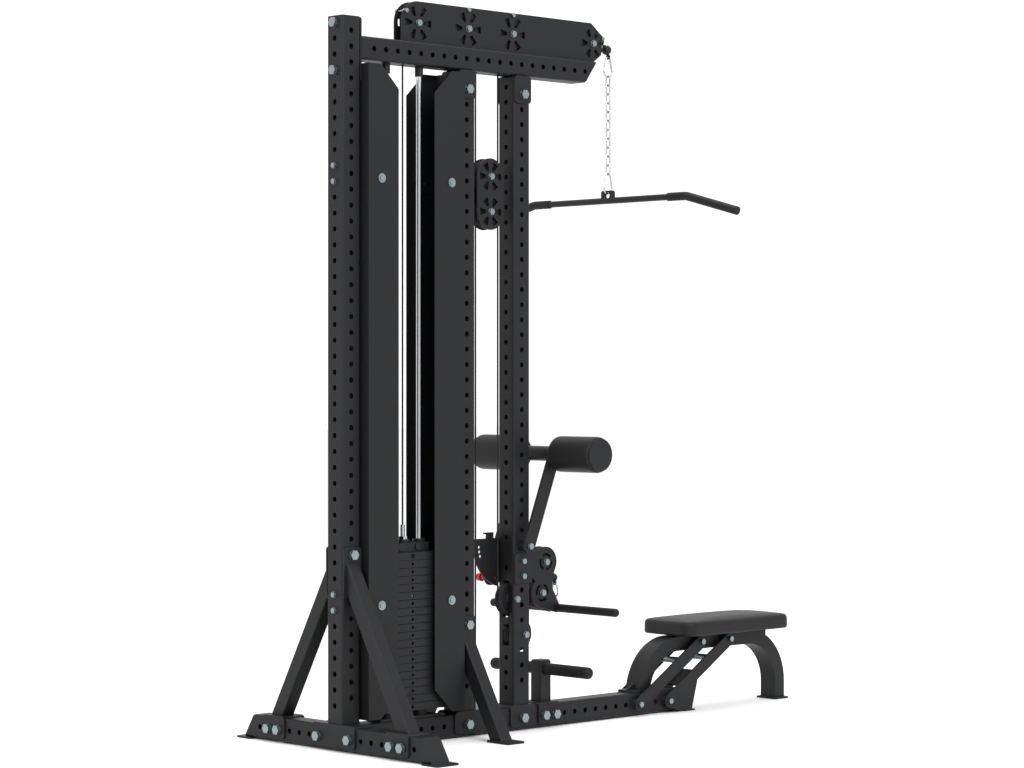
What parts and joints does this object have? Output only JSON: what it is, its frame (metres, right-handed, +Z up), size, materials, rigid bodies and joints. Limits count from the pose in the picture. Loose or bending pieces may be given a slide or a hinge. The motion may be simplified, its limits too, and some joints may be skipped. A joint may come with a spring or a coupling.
{
  "type": "lat pulldown machine",
  "caption": "Free-standing lat pulldown and low row machine with weight stack, pulleys, thigh rollers, foot pegs and a bench seat.",
  "frame": {"origin": "on the floor, midway between the ends of the machine and on its centre plane", "axes": "+X from the weight stack to the seat, +Y across the machine to its left hand seen from the seat, +Z up"},
  "size_m": [2.154, 1.1954, 2.388],
  "materials": {
    "frame_paint": "semi-matte textured",
    "guard_paint": "semi-matte",
    "plate_paint": "semi-matte",
    "zinc": "zinc plated",
    "chrome": "polished",
    "black_plastic": "matte",
    "pulley_plastic": "matte",
    "grip_rubber": "matte",
    "roller_cover": "soft satin",
    "pad_leather": "soft satin",
    "red_knob": "glossy"
  },
  "bodies": {
    "frame": {"base_beam": "frame_paint", "foot_pegs": "grip_rubber", "foot_post": "frame_paint", "frame_bolts": "zinc", "front_axles": "zinc", "front_shroud": "guard_paint", "front_upright": "frame_paint", "guide_rods": "chrome", "housing_bolts": "zinc", "housing_cheek_left": "frame_paint", "housing_cheek_right": "frame_paint", "lat_cable": "black_plastic", "middle_upright": "frame_paint", "rear_brace_left": "frame_paint", "rear_brace_right": "frame_paint", "rear_crossmember": "frame_paint", "rear_shroud": "guard_paint", "rear_upright": "frame_paint", "rod_stops": "black_plastic", "row_anchor": "zinc", "row_bracket": "frame_paint", "row_cable": "black_plastic", "seat_frame": "frame_paint", "seat_pad": "pad_leather", "seat_spacers": "zinc", "seat_struts": "frame_paint", "shroud_brackets": "guard_paint", "shroud_screws": "zinc", "side_stabiliser_left": "frame_paint", "side_stabiliser_right": "frame_paint", "thigh_quadrant": "frame_paint", "top_beam": "frame_paint", "weight_plates": "plate_paint"},
    "stack_lift": {"top_plate": "plate_paint", "lifted_plates": "plate_paint", "selector_rod": "chrome"},
    "selector_pin": {"selector_pin": "zinc"},
    "lat_pull": {"lat_ball": "black_plastic", "lat_carabiners": "chrome", "lat_chain": "chrome"},
    "pull_bar": {"lat_bar": "frame_paint", "bar_grips": "grip_rubber"},
    "floating_block": {"block_cheeks": "frame_paint", "block_bolts": "zinc"},
    "row_pull": {"row_ball": "black_plastic", "row_carabiner": "chrome"},
    "thigh_arm": {"thigh_arm": "frame_paint"},
    "roller_left": {"roller_left": "roller_cover"},
    "roller_right": {"roller_right": "roller_cover"},
    "pop_pin": {"pop_pin": "red_knob"},
    "top_pulley_1": {"top_pulley_1": "pulley_plastic"},
    "top_pulley_2": {"top_pulley_2": "pulley_plastic"},
    "top_pulley_3": {"top_pulley_3": "pulley_plastic"},
    "top_pulley_4": {"top_pulley_4": "pulley_plastic"},
    "block_pulley_lower": {"block_pulley_lower": "pulley_plastic"},
    "block_pulley_upper": {"block_pulley_upper": "pulley_plastic"},
    "guide_pulley_upper": {"guide_pulley_upper": "pulley_plastic"},
    "guide_pulley_lower": {"guide_pulley_lower": "pulley_plastic"},
    "row_pulley_lower": {"row_pulley_lower": "pulley_plastic"},
    "row_pulley_upper": {"row_pulley_upper": "pulley_plastic"}
  },
  "joints": [
    {"name": "stack_lift", "type": "slide", "parent": "frame", "child": "stack_lift", "axis": [0, 0, 1], "range_m": [0, 1], "deforming": ["lat_cable"]},
    {"name": "selector_pin", "type": "slide", "parent": "stack_lift", "child": "selector_pin", "axis": [0, 1, 0], "range_m": [0, 0.12]},
    {"name": "lat_pull", "type": "slide", "parent": "frame", "child": "lat_pull", "axis": [0, 0, -1], "range_m": [0, 1]},
    {"name": "bar_swivel", "type": "hinge", "parent": "lat_pull", "child": "pull_bar", "pos_m": [0.1745, 0, 1.785], "axis": [0, 0, 1], "range_deg": [-25, 25]},
    {"name": "floating_slide", "type": "slide", "parent": "frame", "child": "floating_block", "axis": [0, 0, -1], "range_m": [0, 0.5], "deforming": ["row_cable"]},
    {"name": "row_pull", "type": "slide", "parent": "frame", "child": "row_pull", "axis": [1, 0, 0], "range_m": [0, 1]},
    {"name": "thigh_tilt", "type": "hinge", "parent": "frame", "child": "thigh_arm", "pos_m": [-0.2755, 0, 0.6145], "axis": [0, 1, 0], "range_deg": [0, 66.6]},
    {"name": "roller_spin_left", "type": "hinge", "parent": "thigh_arm", "child": "roller_left", "pos_m": [-0.15566, 0, 0.9195], "axis": [0, 1, 0], "continuous": true},
    {"name": "roller_spin_right", "type": "hinge", "parent": "thigh_arm", "child": "roller_right", "pos_m": [-0.15566, 0, 0.9195], "axis": [0, 1, 0], "continuous": true},
    {"name": "pop_pin", "type": "slide", "parent": "thigh_arm", "child": "pop_pin", "axis": [0, 1, 0], "range_m": [0, 0.012], "stiffness_N_per_m": 800},
    {"name": "spin_top_pulley_1", "type": "hinge", "parent": "frame", "child": "top_pulley_1", "pos_m": [-0.7225, 0, 2.3185], "axis": [0, 1, 0], "continuous": true},
    {"name": "spin_top_pulley_2", "type": "hinge", "parent": "frame", "child": "top_pulley_2", "pos_m": [-0.5025, 0, 2.3185], "axis": [0, 1, 0], "continuous": true},
    {"name": "spin_top_pulley_3", "type": "hinge", "parent": "frame", "child": "top_pulley_3", "pos_m": [-0.3005, 0, 2.3185], "axis": [0, 1, 0], "continuous": true},
    {"name": "spin_top_pulley_4", "type": "hinge", "parent": "frame", "child": "top_pulley_4", "pos_m": [0.0795, 0, 2.3185], "axis": [0, 1, 0], "continuous": true},
    {"name": "spin_block_pulley_lower", "type": "hinge", "parent": "floating_block", "child": "block_pulley_lower", "pos_m": [-0.4015, 0, 1.723], "axis": [0, 1, 0], "continuous": true},
    {"name": "spin_block_pulley_upper", "type": "hinge", "parent": "floating_block", "child": "block_pulley_upper", "pos_m": [-0.4015, 0, 1.8395], "axis": [0, 1, 0], "continuous": true},
    {"name": "spin_guide_pulley_upper", "type": "hinge", "parent": "frame", "child": "guide_pulley_upper", "pos_m": [-0.3005, 0, 0.438], "axis": [0, 1, 0], "continuous": true},
    {"name": "spin_guide_pulley_lower", "type": "hinge", "parent": "frame", "child": "guide_pulley_lower", "pos_m": [-0.2595, 0, 0.318], "axis": [0, 1, 0], "continuous": true},
    {"name": "spin_row_pulley_lower", "type": "hinge", "parent": "frame", "child": "row_pulley_lower", "pos_m": [-0.1625, 0, 0.451], "axis": [0, 1, 0], "continuous": true},
    {"name": "spin_row_pulley_upper", "type": "hinge", "parent": "frame", "child": "row_pulley_upper", "pos_m": [-0.1455, 0, 0.554], "axis": [0, 1, 0], "continuous": true}
  ],
  "couplings": [
    {"joint": "lat_pull", "follows": "stack_lift", "ratio": 1},
    {"joint": "row_pull", "follows": "floating_slide", "ratio": 2},
    {"joint": "spin_top_pulley_1", "follows": "stack_lift", "rad_per_m": 19.802},
    {"joint": "spin_top_pulley_2", "follows": "stack_lift", "rad_per_m": 19.802},
    {"joint": "spin_top_pulley_3", "follows": "stack_lift", "rad_per_m": 19.802},
    {"joint": "spin_top_pulley_4", "follows": "stack_lift", "rad_per_m": 19.802},
    {"joint": "spin_block_pulley_lower", "follows": "floating_slide", "rad_per_m": 19.802},
    {"joint": "spin_block_pulley_upper", "follows": "floating_slide", "rad_per_m": -19.802},
    {"joint": "spin_guide_pulley_upper", "follows": "floating_slide", "rad_per_m": -39.604},
    {"joint": "spin_guide_pulley_lower", "follows": "floating_slide", "rad_per_m": -39.604},
    {"joint": "spin_row_pulley_lower", "follows": "floating_slide", "rad_per_m": 43.011},
    {"joint": "spin_row_pulley_upper", "follows": "floating_slide", "rad_per_m": -43.011}
  ]
}
